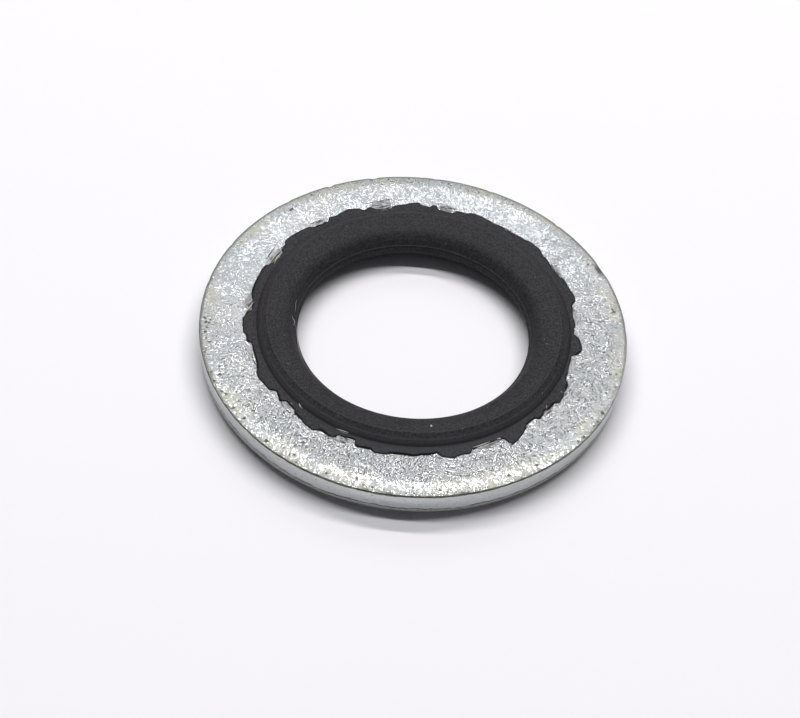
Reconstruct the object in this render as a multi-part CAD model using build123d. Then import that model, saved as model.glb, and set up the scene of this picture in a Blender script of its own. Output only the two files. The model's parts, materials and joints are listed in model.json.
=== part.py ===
from build123d import *
import math
import os

# Bonded sealing washer: a blanked steel ring with a rubber seal moulded round its bore.
# Millimetres. +Z is the washer's axis. The origin is the centre of the plane it rests on,
# which touches the lower sealing lip. The two faces are alike, apart from the ring's
# blanking marks and the ragged rubber film that the mould left on each face.

# Steel ring
outer_diameter = 27.0
steel_thickness = 1.6
rollover_width = 1.3  # outer band of the upper face, drawn down by the blanking punch
rollover_drop = 0.1
fracture_height = 0.25  # torn band round the bottom of the rim
fracture_inset = 0.03

# Rubber seal
seal_bore = 14.6  # clear hole, on the land at mid-height
seal_wall = 2.1  # rubber between the clear hole and the steel ring's own bore
land_height = 0.2  # straight band round the hole, where the two mould halves met
throat_slope = 60.0  # degrees from level, ledge to funnel
step_height = 0.35  # ledge round the throat, above the mid-plane: the core pin's witness line
step_inset = 0.11  # from the clear hole out to the ledge
step_width = 0.05
step_drop = 0.12  # upright face below the ledge
funnel_slope = 17.0  # degrees from level, throat to crest
throat_radius = 0.8  # rounding where the throat turns into the funnel

# Sealing lip, one on each face
lip_height = 0.63  # crest above the steel face
crest_width = 0.1  # flat along the top of the lip
face_overlap = 0.56  # how far the lip's foot lies out over the steel face
flank_width = 0.71  # foot to the middle of the crest, seen from above
ledge_offset = 0.32  # step in the flank: out from the crest's flat, and down from it
ledge_depth = 0.24
ledge_width = 0.05
ledge_fall = 0.02

# Flash: a film of rubber squeezed out between the steel and the mould. Each pair is a
# tip or a notch of its torn edge: its angle in degrees and its reach beyond the foot.
flash_thickness = 0.06
flash_root = 0.2  # how far the film starts inside the foot
upper_flash = [
    (4, 0.23), (11, 0.29), (24, 0.77), (34, 0.59), (47, 0.99), (57, 0.74), (72, 0.97),
    (82, 0.47), (94, 0.93), (105, 0.43), (112, 0.60), (118, 0.96), (124, 0.75),
    (130, 0.41), (142, 0.88), (154, 0.27), (166, 0.69), (178, 0.26), (188, 0.84),
    (200, 0.38), (213, 0.86), (220, 0.44), (224, 0.66), (228, 0.39), (238, 0.85),
    (251, 0.36), (262, 0.80), (270, 0.65), (281, 0.52), (288, 0.90), (299, 0.43),
    (308, 1.11), (317, 0.47), (321, 0.67), (324, 0.39), (332, 0.80), (348, 0.18),
    (356, 0.75),
]
lower_flash = [
    (6, 0.76), (17, 0.48), (29, 0.84), (40, 0.26), (52, 0.68), (66, 0.56), (75, 0.92),
    (88, 0.40), (101, 0.74), (111, 0.58), (126, 0.98), (139, 0.32), (150, 0.80),
    (163, 0.66), (175, 0.86), (186, 0.20), (199, 0.62), (214, 0.90), (226, 0.54),
    (240, 0.78), (252, 0.36), (267, 0.94), (279, 0.64), (292, 0.72), (305, 0.30),
    (318, 0.82), (333, 0.60), (345, 1.02), (354, 0.46),
]

# Worked out from the sizes above
outer_radius = outer_diameter / 2
bore_radius = seal_bore / 2
steel_bore_radius = bore_radius + seal_wall
foot_radius = steel_bore_radius + face_overlap
crest_radius = foot_radius - flank_width
mid_height = lip_height + steel_thickness / 2


def make_steel_ring():
    """Flat blanked ring: rounded-over upper edge, torn band at the bottom of the rim."""
    bottom = mid_height - steel_thickness / 2
    top = mid_height + steel_thickness / 2
    rim_top = (outer_radius, top - rollover_drop)
    rollover_start = (outer_radius - rollover_width, top)
    rollover = TangentArc(rollover_start, rim_top, tangent=(1, 0))
    rest = Polyline(
        rim_top,
        (outer_radius, bottom + fracture_height),
        (outer_radius - fracture_inset, bottom),
        (steel_bore_radius, bottom),
        (steel_bore_radius, top),
        rollover_start,
    )
    section = Plane.XZ * make_face([rollover, rest])
    return revolve(section, Axis.Z)


def seal_half_section():
    """Upper half of the moulded section, from the mid-plane up: land, throat, funnel, lip."""
    face = steel_thickness / 2
    crest = face + lip_height
    crest_inner = crest_radius - crest_width / 2
    crest_outer = crest_radius + crest_width / 2
    land_top = land_height / 2

    # The throat rises from the ledge, and the funnel falls inwards from the crest until
    # the two meet.
    throat_rise = math.tan(math.radians(throat_slope))
    funnel_rise = math.tan(math.radians(funnel_slope))
    step_inner = bore_radius + step_inset
    step_outer = step_inner + step_width
    rise = crest - funnel_rise * (crest_inner - step_outer) - step_height
    throat_run = rise / (throat_rise - funnel_rise)
    throat = (step_outer + throat_run, step_height + throat_rise * throat_run)

    ledge_inner = (crest_outer + ledge_offset, crest - ledge_depth)
    ledge_outer = (ledge_inner[0] + ledge_width, ledge_inner[1] - ledge_fall)
    outline = Polyline(
        (bore_radius, 0),
        (bore_radius, land_top),
        (step_inner, step_height - step_drop),
        (step_inner, step_height),
        (step_outer, step_height),
        throat,
        (crest_inner, crest),
        (crest_outer, crest),
        ledge_inner,
        ledge_outer,
        (foot_radius, face),
        (steel_bore_radius, face),
        (steel_bore_radius, 0),
        close=True,
    )
    half = make_face(outline)
    corner = half.vertices().sort_by_distance(throat)[0]
    return fillet(corner, throat_radius)


def flash_film(torn_edge):
    """Film lying on the plane z = 0, its outline swinging between the tips and notches."""
    corners = []
    for angle, reach in torn_edge:
        corners.append((angle, foot_radius + reach))
    first_angle, first_radius = corners[0]
    corners.append((first_angle + 360, first_radius))

    edges = []
    for (start, start_radius), (end, end_radius) in zip(corners, corners[1:]):
        quarter = (end - start) / 4
        # Control points straight along the circle, so each corner is a true tip or notch.
        handle = 1 / math.cos(math.radians(quarter))
        edges.append(Bezier(
            polar(start_radius, start),
            polar(start_radius * handle, start + quarter),
            polar(end_radius * handle, end - quarter),
            polar(end_radius, end),
        ))
    outline = make_face(edges)
    hole = Circle(foot_radius - flash_root)
    return extrude(outline - hole, flash_thickness)


def polar(radius, angle):
    """Point in the plane at this radius and angle in degrees."""
    turn = math.radians(angle)
    return (radius * math.cos(turn), radius * math.sin(turn))


def make_rubber_seal():
    """Ring moulded round the steel's bore, with a lip and a flash film on each face."""
    half = seal_half_section()
    section = half + mirror(half, about=Plane.XZ)
    seal = revolve(Plane.XZ * section, Axis.Z)
    face = steel_thickness / 2
    seal += Pos(0, 0, face) * flash_film(upper_flash)
    seal += Pos(0, 0, -face - flash_thickness) * flash_film(lower_flash)
    return Pos(0, 0, mid_height) * seal


os.makedirs("parts", exist_ok=True)
export_step(make_steel_ring(), "parts/steel_ring.step")
export_step(make_rubber_seal(), "parts/rubber_seal.step")
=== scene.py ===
import json
import math
from types import SimpleNamespace

import bpy
import numpy as np
from bpy.props import FloatProperty, FloatVectorProperty, IntProperty, PointerProperty
from bpy.types import Operator, Panel, PropertyGroup
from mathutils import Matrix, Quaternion, Vector


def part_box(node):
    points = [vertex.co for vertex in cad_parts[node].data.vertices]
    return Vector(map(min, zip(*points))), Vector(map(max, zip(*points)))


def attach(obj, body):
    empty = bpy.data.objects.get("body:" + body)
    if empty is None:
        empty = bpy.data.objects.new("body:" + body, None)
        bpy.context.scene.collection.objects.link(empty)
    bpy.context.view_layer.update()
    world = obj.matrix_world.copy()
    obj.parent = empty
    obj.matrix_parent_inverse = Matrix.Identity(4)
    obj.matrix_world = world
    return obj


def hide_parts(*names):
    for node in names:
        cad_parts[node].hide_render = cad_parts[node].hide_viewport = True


bl_info = {
    "name": "Bonded Sealing Washer",
    "version": (1, 0, 0),
    "blender": (4, 5, 0),
    "location": "3D View > Sidebar > Washer",
    "description": "Makes a plated steel ring with a rubber seal moulded round its bore",
    "category": "Object",
}

MM = 0.001  # the sizes below are metres, written as millimetres times this
DEGREE = math.pi / 180

# Angles round the washer are degrees from +X, anticlockwise seen from above: its front,
# which is nearest to the camera, is at 270, its right side at 0 and its left at 180.

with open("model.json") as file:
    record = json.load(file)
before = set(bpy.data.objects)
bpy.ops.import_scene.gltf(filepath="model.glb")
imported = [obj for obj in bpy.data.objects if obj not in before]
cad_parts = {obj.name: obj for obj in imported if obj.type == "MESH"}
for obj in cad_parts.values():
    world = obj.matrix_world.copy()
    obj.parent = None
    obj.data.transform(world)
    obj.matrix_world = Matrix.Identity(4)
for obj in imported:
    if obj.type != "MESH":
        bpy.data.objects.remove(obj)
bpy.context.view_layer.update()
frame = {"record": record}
RING_LOW, RING_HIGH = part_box("steel_ring")
SEAL_LOW, SEAL_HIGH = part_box("rubber_seal")
BORE = next(mount for mount in frame["record"]["mounts"] if mount["name"] == "bore")

# Radii that the pieces share: the clear hole, the steel's own bore outside a 2.1 mm wall of
# rubber, and the foot of the lip, which lies 0.56 mm out over the steel's face.
HOLE_RADIUS = BORE["dims"]["r_mm"] * MM
STEEL_BORE = HOLE_RADIUS + 2.1 * MM
LIP_FOOT = STEEL_BORE + 0.56 * MM

# Torn edge of the rubber film on each face, as tips and notches: the angle in degrees, and
# how far the film reaches beyond the lip's foot, in millimetres.
UPPER_FILM = [
    (0, 0.56), (3, 0.18), (6, 0.22), (7, 0.32), (11, 0.26), (16, 0.40), (18.5, 0.76),
    (20, 0.81), (25, 0.73), (29, 0.74), (30.5, 0.60), (33, 0.56), (36, 0.60), (40, 0.72),
    (42, 0.74), (45, 0.92), (49, 0.94), (52, 0.80), (56, 0.76), (57.5, 0.69), (60, 0.71),
    (61, 0.80), (64, 0.74), (68, 0.84), (70, 0.90), (73, 0.92), (75, 0.74), (78.5, 0.72),
    (80, 0.40), (85, 0.48), (86.5, 0.86), (87.5, 0.86), (88.5, 0.66), (91.5, 0.74),
    (92.5, 0.96), (95, 0.90), (98, 0.72), (101, 0.64), (103, 0.40), (108, 0.44),
    (110.5, 0.73), (112.5, 0.54), (115, 0.82), (118, 0.94), (121, 0.82), (123, 0.70),
    (126, 0.74), (127.5, 0.44), (133, 0.53), (135, 0.74), (138, 0.82), (143, 0.88),
    (145.5, 0.84), (147.5, 0.60), (149, 0.64), (150.5, 0.34), (157, 0.34), (159.5, 0.66),
    (161, 0.68), (166, 0.66), (171, 0.64), (173.5, 0.60), (175, 0.49), (178, 0.33),
    (181, 0.32), (182.5, 0.62), (185.5, 0.84), (191, 0.82), (193, 0.66), (195.5, 0.70),
    (196.5, 0.40), (200, 0.42), (205, 0.46), (208, 0.60), (210, 0.78), (212, 0.84),
    (214.5, 0.76), (218, 0.70), (220, 0.40), (222, 0.50), (224, 0.70), (225.5, 0.36),
    (230, 0.44), (231.5, 0.66), (234, 0.68), (237, 0.82), (240, 0.86), (242, 0.62),
    (247, 0.72), (248, 0.38), (253.5, 0.22), (255, 0.68), (260, 0.62), (261.5, 0.78),
    (264.5, 0.74), (267, 0.62), (270, 0.60), (274, 0.66), (277, 0.56), (280, 0.54),
    (281.5, 0.42), (283.5, 0.76), (286.5, 0.92), (290, 0.78), (292.5, 0.80), (294, 0.57),
    (298, 0.40), (303, 0.56), (305, 0.52), (306.5, 1.13), (308, 1.10), (311, 0.90),
    (314, 0.66), (315.5, 0.44), (319, 0.40), (320.5, 0.66), (322.5, 0.60), (324, 0.45),
    (326, 0.61), (327.5, 0.58), (329, 0.58), (330.5, 0.80), (333, 0.76), (335.5, 0.64),
    (337.5, 0.64), (339.5, 0.54), (341, 0.30), (344, 0.22), (348, 0.16), (352, 0.16),
    (353.5, 0.55), (355, 0.72), (357, 0.70), (360, 0.56),
]
LOWER_FILM = [
    (0, 0.62), (6, 0.80), (11, 0.66), (17, 0.46), (20, 0.74), (29, 0.86), (34, 0.66),
    (40, 0.24), (45, 0.30), (47, 0.66), (52, 0.70), (60, 0.54), (66, 0.58), (71, 0.86),
    (77, 0.94), (80, 0.66), (88, 0.38), (93, 0.68), (101, 0.76), (111, 0.56), (121, 0.88),
    (126, 1.00), (131, 0.82), (137, 0.36), (142, 0.30), (145, 0.76), (153, 0.82),
    (163, 0.64), (171, 0.84), (178, 0.88), (184, 0.22), (189, 0.20), (192, 0.58),
    (202, 0.64), (210, 0.90), (217, 0.86), (226, 0.52), (236, 0.80), (243, 0.76),
    (250, 0.36), (255, 0.38), (261, 0.92), (269, 0.96), (275, 0.68), (284, 0.62),
    (293, 0.76), (301, 0.34), (308, 0.30), (313, 0.78), (321, 0.84), (329, 0.58),
    (336, 0.62), (342, 1.02), (348, 0.96), (351, 0.48), (356, 0.46), (360, 0.62),
]

# Places on the upper face where the film was scraped thin and left a grey smear: middle
# and half width in degrees, inner and outer reach beyond the foot in millimetres, strength.
SMEARS = [
    (33.5, 3.5, 0.45, 1.00, 0.65), (59, 2.2, 0.55, 0.92, 0.75), (82.5, 3.2, 0.42, 1.20, 0.75),
    (106, 4.2, 0.40, 1.40, 0.75), (130.5, 3.2, 0.42, 1.05, 0.65), (154, 4.4, 0.25, 0.95, 0.70),
    (177.5, 3.6, 0.20, 1.00, 0.80), (201, 4.4, 0.35, 1.00, 0.50), (227.5, 3.2, 0.35, 0.85, 0.55),
    (250.5, 3.4, 0.32, 0.85, 0.45), (299, 5.2, 0.34, 0.95, 0.50), (324, 4.0, 0.30, 0.80, 0.60),
    (336, 2.2, 0.60, 0.95, 0.45), (10, 6.5, 0.25, 0.85, 0.45), (347, 5.0, 0.20, 0.90, 0.35),
]

# Pits and scars on the upper face: angle in degrees, radius and size in millimetres.
MARKS = [
    (185.2, 13.19, 0.14), (186.8, 13.09, 0.17), (187.2, 12.86, 0.14), (188.7, 13.04, 0.12),
    (190.2, 13.13, 0.17), (194.2, 12.93, 0.16), (192.6, 13.08, 0.13), (196.1, 13.19, 0.13),
    (193.2, 11.66, 0.13), (203.6, 12.70, 0.14), (206.4, 12.89, 0.17), (207.8, 13.34, 0.16),
    (211.9, 13.24, 0.17), (213.4, 13.07, 0.16), (218.4, 13.20, 0.19), (223.0, 13.10, 0.16),
    (232.5, 13.20, 0.19), (196.0, 12.40, 0.12), (241.0, 12.95, 0.13), (251.0, 13.15, 0.14),
    (259.0, 12.85, 0.12), (263.5, 13.20, 0.13), (274.0, 12.90, 0.14), (281.0, 13.10, 0.13),
    (299.8, 12.98, 0.17), (288.0, 13.45, 0.17), (308.3, 13.07, 0.16), (334.6, 13.28, 0.20),
    (331.3, 13.32, 0.14), (329.4, 13.33, 0.12), (324.6, 13.34, 0.17), (322.5, 13.30, 0.14),
    (313.7, 13.05, 0.13), (316.6, 11.73, 0.13), (12.4, 12.96, 0.19), (13.4, 12.88, 0.12),
    (31.9, 12.86, 0.14), (133.9, 12.73, 0.19), (134.6, 12.68, 0.13), (106.7, 13.26, 0.14),
    (119.2, 13.38, 0.14), (349.0, 13.05, 0.13), (341.5, 12.90, 0.12),
]

# Single torn threads: first and last angle in degrees, reach beyond the foot and height above
# the steel in millimetres at each end, thickness in millimetres, and paleness from 0 to 1.
LONE_THREADS = [
    # Pale curls along the foot of the lip, and one shred on its flank.
    (246.2, 252.0, 0.01, -0.09, 0.070, 0.085, 0.055, 0.95),
    (247.6, 250.6, 0.07, 0.04, 0.062, 0.060, 0.035, 0.55),
    (228.5, 230.8, -0.09, -0.01, 0.095, 0.070, 0.060, 0.95),
    (229.6, 231.6, -0.02, 0.05, 0.070, 0.060, 0.040, 0.7),
    (29.9, 31.3, -0.41, -0.21, 0.300, 0.200, 0.045, 0.5),
    # Shreds at the film's torn edge.
    (13.0, 15.2, 0.52, 0.44, 0.030, 0.060, 0.060, 0.9),
    (173.4, 178.8, 0.58, 0.80, 0.050, 0.050, 0.090, 0.60),
    (174.2, 179.4, 0.50, 0.72, 0.070, 0.060, 0.070, 0.80),
    (175.6, 180.8, 0.30, 0.58, 0.070, 0.060, 0.060, 0.02),
    (177.4, 183.2, 0.24, 0.66, 0.070, 0.060, 0.085, 0.65),
    (178.2, 182.8, 0.36, 0.70, 0.085, 0.070, 0.060, 0.85),
    (148.6, 159.0, 0.53, 0.46, 0.070, 0.060, 0.062, 0.95),
    (150.0, 157.4, 0.42, 0.36, 0.050, 0.070, 0.050, 0.15),
    (151.0, 157.4, 0.26, 0.21, 0.075, 0.070, 0.058, 0.95),
    (150.4, 156.4, 0.36, 0.30, 0.060, 0.060, 0.050, 0.75),
    (150.0, 156.8, 0.98, 0.86, 0.020, 0.020, 0.045, 0.05),
    (197.0, 203.0, 0.74, 0.66, 0.020, 0.030, 0.045, 0.9),
    (201.0, 208.4, 0.60, 0.56, 0.030, 0.020, 0.050, 0.15),
    (303.0, 304.4, 0.40, 0.46, 0.070, 0.080, 0.080, 1.0),
    (294.0, 300.4, 0.44, 0.40, 0.060, 0.060, 0.070, 0.95),
    (298.4, 304.2, 0.56, 0.50, 0.040, 0.050, 0.060, 0.8),
    # Fine flash round the edge of the hole.
    (171.0, 178.8, -2.31, -2.38, -0.115, -0.235, 0.030, 0.45),
    (182.0, 186.6, -2.30, -2.46, -0.095, -0.365, 0.035, 0.7),
    (185.0, 208.0, -2.51, -2.51, -0.435, -0.435, 0.035, 0.6),
    # Specks of dust on the lip.
    (280.5, 281.1, -1.26, -1.26, 0.485, 0.485, 0.130, 1.0),
    (272.4, 272.7, -0.56, -0.55, 0.520, 0.520, 0.050, 0.6),
    (353.4, 353.7, -1.52, -1.52, 0.400, 0.400, 0.050, 0.6),
]

# Knocks on the upper edge of the rim: angle and half width in degrees, depth in millimetres.
# The first one also left a grey chip, darkened by a share of the break groove's painted shade.
CHIP_ANGLE, CHIP_HALF_WIDTH, CHIP_SHADE = 28.6, 3.2, 0.37
EDGE_KNOCKS = [
    (CHIP_ANGLE, CHIP_HALF_WIDTH, 0.045), (106, 1.4, 0.06), (119, 1.1, 0.07), (133, 1.0, 0.04),
    (156, 0.8, 0.04), (171, 0.9, 0.05), (188, 1.2, 0.05), (205, 0.7, 0.05), (217, 0.6, 0.06),
    (226, 0.7, 0.05), (238, 0.6, 0.05), (249, 0.9, 0.06), (262, 1.2, 0.05), (268, 2.2, 0.06),
    (274, 0.8, 0.04), (286.5, 1.1, 0.08), (290, 0.7, 0.05), (303, 0.8, 0.04), (316, 0.7, 0.05),
    (331, 0.9, 0.04), (345, 0.7, 0.05), (6, 0.9, 0.04), (49, 1.0, 0.04), (72, 0.8, 0.03),
    (88, 0.9, 0.03),
]


# ---------------------------------------------------------------- settings of the panel

def length_setting(name, description, default):
    return FloatProperty(name=name, description=description, default=default, unit="LENGTH")


def angle_setting(name, description, default):
    return FloatProperty(name=name, description=description, default=default, subtype="ANGLE")


def count_setting(name, description, default):
    return IntProperty(name=name, description=description, default=default)


def colour_setting(name, description, *shade):
    return FloatVectorProperty(
        name=name, description=description, default=(*shade, 1), size=4, subtype="COLOR")


def place_setting(name, description, *place):
    return FloatVectorProperty(
        name=name, description=description, default=place, size=3, subtype="TRANSLATION",
        unit="LENGTH")


# ---------------------------------------------------------------- node trees

class Value:
    """A node's output that works in Python arithmetic: each operator adds a Math node."""

    def __init__(self, nodes, socket):
        self.nodes = nodes
        self.socket = socket

    def math(self, operation, first, second=0.0):
        return self.nodes.add("ShaderNodeMath", {"operation": operation}, {0: first, 1: second})

    def __add__(self, other):
        return self.math("ADD", self, other)

    def __radd__(self, other):
        return self.math("ADD", other, self)

    def __sub__(self, other):
        return self.math("SUBTRACT", self, other)

    def __rsub__(self, other):
        return self.math("SUBTRACT", other, self)

    def __mul__(self, other):
        return self.math("MULTIPLY", self, other)

    def __rmul__(self, other):
        return self.math("MULTIPLY", other, self)

    def __truediv__(self, other):
        return self.math("DIVIDE", self, other)

    def __rtruediv__(self, other):
        return self.math("DIVIDE", other, self)

    def __abs__(self):
        return self.math("ABSOLUTE", self)


class Nodes:
    """Adds nodes to one tree and hands back their outputs as Values."""

    def __init__(self, tree):
        self.tree = tree

    def add(self, kind, settings=None, inputs=None, output=0):
        """One node: its settings are set first, then its sockets, by name or number."""
        node = self.tree.nodes.new(kind)
        for name, setting in (settings or {}).items():
            setattr(node, name, setting)
        for name, given in (inputs or {}).items():
            if isinstance(given, Value):
                self.tree.links.new(given.socket, node.inputs[name])
            else:
                node.inputs[name].default_value = given
        return Value(self, node.outputs[output])

    def vector(self, operation, inputs, output=0):
        """Vector Math on these inputs."""
        return self.add("ShaderNodeVectorMath", {"operation": operation}, inputs, output)

    def length(self, vector):
        return self.vector("LENGTH", {0: vector}, output=1)

    def flat(self, place):
        """The place brought straight down to height 0."""
        return self.vector("MULTIPLY", {0: place, 1: (1, 1, 0)})

    def smooth(self, value, low, high):
        """0 below low, 1 above high, and an S-shaped step between them."""
        return self.add(
            "ShaderNodeMapRange", {"interpolation_type": "SMOOTHSTEP"},
            {"Value": value, "From Min": low, "From Max": high})

    def noise(self, place, size, detail=2.0, roughness=0.5, distortion=0.0):
        """Cloudy noise from 0 to 1, whose blobs are about this size."""
        return self.add("ShaderNodeTexNoise", {}, {
            "Vector": place, "Scale": 1.0 / size, "Detail": detail, "Roughness": roughness,
            "Distortion": distortion})

    def scattered(self, place, size):
        """Distance to the nearest of many random points, as a share of their usual spacing."""
        return self.add(
            "ShaderNodeTexVoronoi", {"feature": "F1"},
            {"Vector": place, "Scale": 1.0 / size, "Randomness": 1.0})

    def blend(self, amount, first, second):
        """Mixes two colours: all of the first where the amount is 0, of the second where it's 1."""
        return self.add(
            "ShaderNodeMix", {"data_type": "RGBA"}, {0: amount, 6: first, 7: second}, output=2)

    def coats(self, colour, *coats):
        """Lays coats over a colour, each an amount from 0 to 1 and the coat's own colour."""
        for amount, coat in coats:
            colour = self.blend(amount, colour, coat)
        return colour

    def attribute(self, name):
        """The number that the mesh holds under this name."""
        return self.add("ShaderNodeAttribute", {"attribute_name": name}, {}, output=2)

    def bump(self, relief, depth, strength=1.0):
        """A normal tilted as by a relief whose 1 stands this many metres above its 0."""
        return self.add(
            "ShaderNodeBump", {}, {"Strength": strength, "Distance": depth, "Height": relief})


def new_material(name):
    """An empty material with its Nodes and its principled shader."""
    material = bpy.data.materials.new(name)
    material.use_nodes = True
    tree = material.node_tree
    return material, Nodes(tree), tree.nodes["Principled BSDF"]


def feed(nodes, shader, **values):
    """Sets or links the shader's sockets: spaces in a socket's name are underscores here."""
    for name, value in values.items():
        socket = shader.inputs[name.replace("_", " ")]
        if isinstance(value, Value):
            nodes.tree.links.new(value.socket, socket)
        else:
            socket.default_value = value


def polar_place(nodes):
    """Object coordinates, distance from the axis, and height, all in metres."""
    place = nodes.add("ShaderNodeTexCoord", output=3)
    radius = nodes.length(nodes.flat(place))
    height = nodes.add("ShaderNodeSeparateXYZ", {}, {0: place}, output=2)
    return place, radius, height


def round_place(nodes, spot, shrink, wrap=12 * MM):
    """Coordinates wrapped round the axis: a smaller shrink draws patterns out radially,
    and a smaller wrap draws them out along the circle."""
    place, radius, height = spot
    turn = nodes.vector("NORMALIZE", {0: nodes.flat(place)})
    turn = nodes.vector("SCALE", {0: turn, "Scale": wrap})
    out = nodes.add("ShaderNodeCombineXYZ", {}, {2: radius * shrink + height})
    return nodes.vector("ADD", {0: turn, 1: out})


def open_tree(name, inputs):
    """Nodes for a new geometry tree, and its inputs by name: Geometry, and these by type."""
    tree = bpy.data.node_groups.new(name, "GeometryNodeTree")
    tree.interface.new_socket("Geometry", in_out="INPUT", socket_type="NodeSocketGeometry")
    for label, kind in inputs.items():
        tree.interface.new_socket(label, in_out="INPUT", socket_type=kind)
    tree.interface.new_socket("Geometry", in_out="OUTPUT", socket_type="NodeSocketGeometry")
    nodes = Nodes(tree)
    entry = tree.nodes.new("NodeGroupInput")
    return nodes, {socket.name: Value(nodes, socket) for socket in entry.outputs if socket.name}


def close_tree(nodes, geometry, material):
    """Ends a geometry tree: instances made real, and the material set."""
    real = nodes.add("GeometryNodeRealizeInstances", {}, {"Geometry": geometry})
    coated = nodes.add("GeometryNodeSetMaterial", {}, {"Geometry": real, "Material": material})
    leave = nodes.tree.nodes.new("NodeGroupOutput")
    nodes.tree.links.new(coated.socket, leave.inputs[0])
    return nodes.tree


def bake_tree(piece, tree, inputs):
    """Runs a node tree on the piece and keeps the result as its plain mesh."""
    modifier = piece.modifiers.new(tree.name, "NODES")
    modifier.node_group = tree
    for socket in tree.interface.items_tree:
        if socket.in_out == "INPUT" and socket.name in inputs:
            modifier[socket.identifier] = inputs[socket.name]
    depsgraph = bpy.context.evaluated_depsgraph_get()
    result = bpy.data.meshes.new_from_object(piece.evaluated_get(depsgraph), depsgraph=depsgraph)
    piece.modifiers.remove(modifier)
    piece.data = result


# ---------------------------------------------------------------- zinc plate

# Linear colours of the plating's wear and dirt, and of the painted shade in the wrinkles' creases
# and the break groove. Its main colours are the ring's settings.
CLOUDED_ZINC = (0.30, 0.32, 0.36, 1)
LOW_SIDE = (0.515, 0.540, 0.538, 1)
SIDE_MOTTLE = (0.34, 0.355, 0.36, 1)
BLUE_OXIDE = (0.380, 0.430, 0.475, 1)
WORN_OXIDE = (0.31, 0.308, 0.275, 1)
GRIME = (0.25, 0.245, 0.205, 1)
WRINKLE_CREASE_SHADE = (0.16, 0.165, 0.175, 1)
SCUFF = (0.13, 0.13, 0.12, 1)
DARK_FIBRE = (0.075, 0.072, 0.076, 1)
PALE_FIBRE = (0.44, 0.435, 0.425, 1)
TORN_STEEL = (0.30, 0.30, 0.285, 1)
BREAK_GROOVE_SHADE = (0.045, 0.045, 0.043, 1)
PIT = (0.07, 0.066, 0.058, 1)
EDGE_LINE = (0.030, 0.030, 0.021, 1)


def rim_top(ring):
    """Height of the rim's upper edge, which the punch drew down below the face."""
    return ring.top - ring.rollover_drop


def rim_band(nodes, ring, radius, start, full):
    """0 further than start inside the rim, and 1 nearer to it than full."""
    return nodes.smooth(radius, ring.outer_radius - start, ring.outer_radius - full)


def plate_zones(nodes, ring, spot):
    """Where the plating wears in its own way, as masks, and the noise that frays them."""
    place, radius, height = spot
    side = rim_band(nodes, ring, radius, 0.04 * MM, 0.01 * MM)
    side = side * (1.0 - nodes.smooth(height, rim_top(ring) - 0.03 * MM, rim_top(ring)))
    ragged = nodes.noise(place, 0.30 * MM)
    scuff = rim_band(nodes, ring, radius + (ragged - 0.5) * 0.20 * MM, 0.19 * MM, 0.08 * MM)

    # A dark line runs round the upper edge, as far below the corner as edge_drop says.
    drop = nodes.attribute("edge_drop") * MM
    off_edge = nodes.add(
        "ShaderNodeCombineXYZ", {},
        {0: ring.outer_radius - radius, 1: height - rim_top(ring) + drop})
    off_edge = nodes.length(off_edge) + (ragged - 0.5) * 0.17 * MM
    edge_line = 1.0 - nodes.smooth(off_edge, 0.02 * MM + drop * 0.35, 0.065 * MM + drop * 0.5)
    return SimpleNamespace(
        near_rim=rim_band(nodes, ring, radius, 1.2 * MM, 0.4 * MM),
        worn_edge=rim_band(nodes, ring, radius, 0.36 * MM, 0.10 * MM),
        warm=rim_band(nodes, ring, radius, 2.0 * MM, 0.6 * MM),
        side=side,
        ragged=ragged,
        scuff=scuff * nodes.attribute("scuffed") * (1.0 - side),
        edge_line=edge_line * (0.75 + 0.25 * nodes.smooth(ragged, 0.35, 0.55)),
    )


def plate_wrinkles(nodes, spot, side):
    """Fine wrinkles, where the attribute asks for them: sunk into the relief, and darkened with
    painted shade in their creases.
    """
    wrinkle_place = round_place(nodes, spot, 0.55)
    wrinkle = nodes.noise(wrinkle_place, 0.24 * MM, detail=1.0, distortion=0.8)
    wrinkle = 1.0 - nodes.smooth(abs(wrinkle - 0.5), 0.008, 0.05)
    return wrinkle * nodes.attribute("wrinkled") * (1.0 - side)


def plate_pits(nodes, place, fleck, zone):
    """Scattered pits near the rim, and the marks that the attribute places one by one."""
    pit = 1.0 - nodes.smooth(
        nodes.scattered(place, 0.50 * MM) + 0.3 * (fleck - 0.5), 0.08, 0.17)
    pit = pit * nodes.smooth(nodes.noise(place, 0.9 * MM), 0.42, 0.54) * zone.near_rim
    mark = nodes.attribute("mark") + 0.7 * (nodes.noise(place, 0.10 * MM, detail=1.0) - 0.5)
    mark = nodes.smooth(mark, 0.58, 0.74)
    return 1.0 - (1.0 - pit * (1.0 - 0.8 * zone.side)) * (1.0 - 0.97 * mark)


def plate_smear(nodes, spot, ragged):
    """How much rubber is smeared over the plate, the smear's fibres, and their colour."""
    fibre_place = round_place(nodes, spot, 1.0, wrap=2.6 * MM)
    fibre = nodes.noise(fibre_place, 0.075 * MM, roughness=0.6, distortion=0.5)
    smear = nodes.attribute("smear")
    frayed = smear + 0.9 * (fibre - 0.5) + 0.5 * (ragged - 0.5)
    amount = nodes.smooth(frayed, 0.22, 0.42) * nodes.smooth(smear, 0.02, 0.20)
    return amount, fibre, nodes.blend(nodes.smooth(fibre, 0.42, 0.58), DARK_FIBRE, PALE_FIBRE)


def side_colour(nodes, ring, lay, height):
    """The rim's side: cooler towards the bottom, and faintly mottled."""
    low = 1.0 - nodes.smooth(height, rim_top(ring) - 0.9 * MM, rim_top(ring) - 0.2 * MM)
    mottle = nodes.smooth(nodes.noise(lay, 0.15 * MM), 0.40, 0.64)
    return nodes.coats(tuple(ring.side_colour), (low, LOW_SIDE), (mottle * 0.30, SIDE_MOTTLE))


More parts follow.
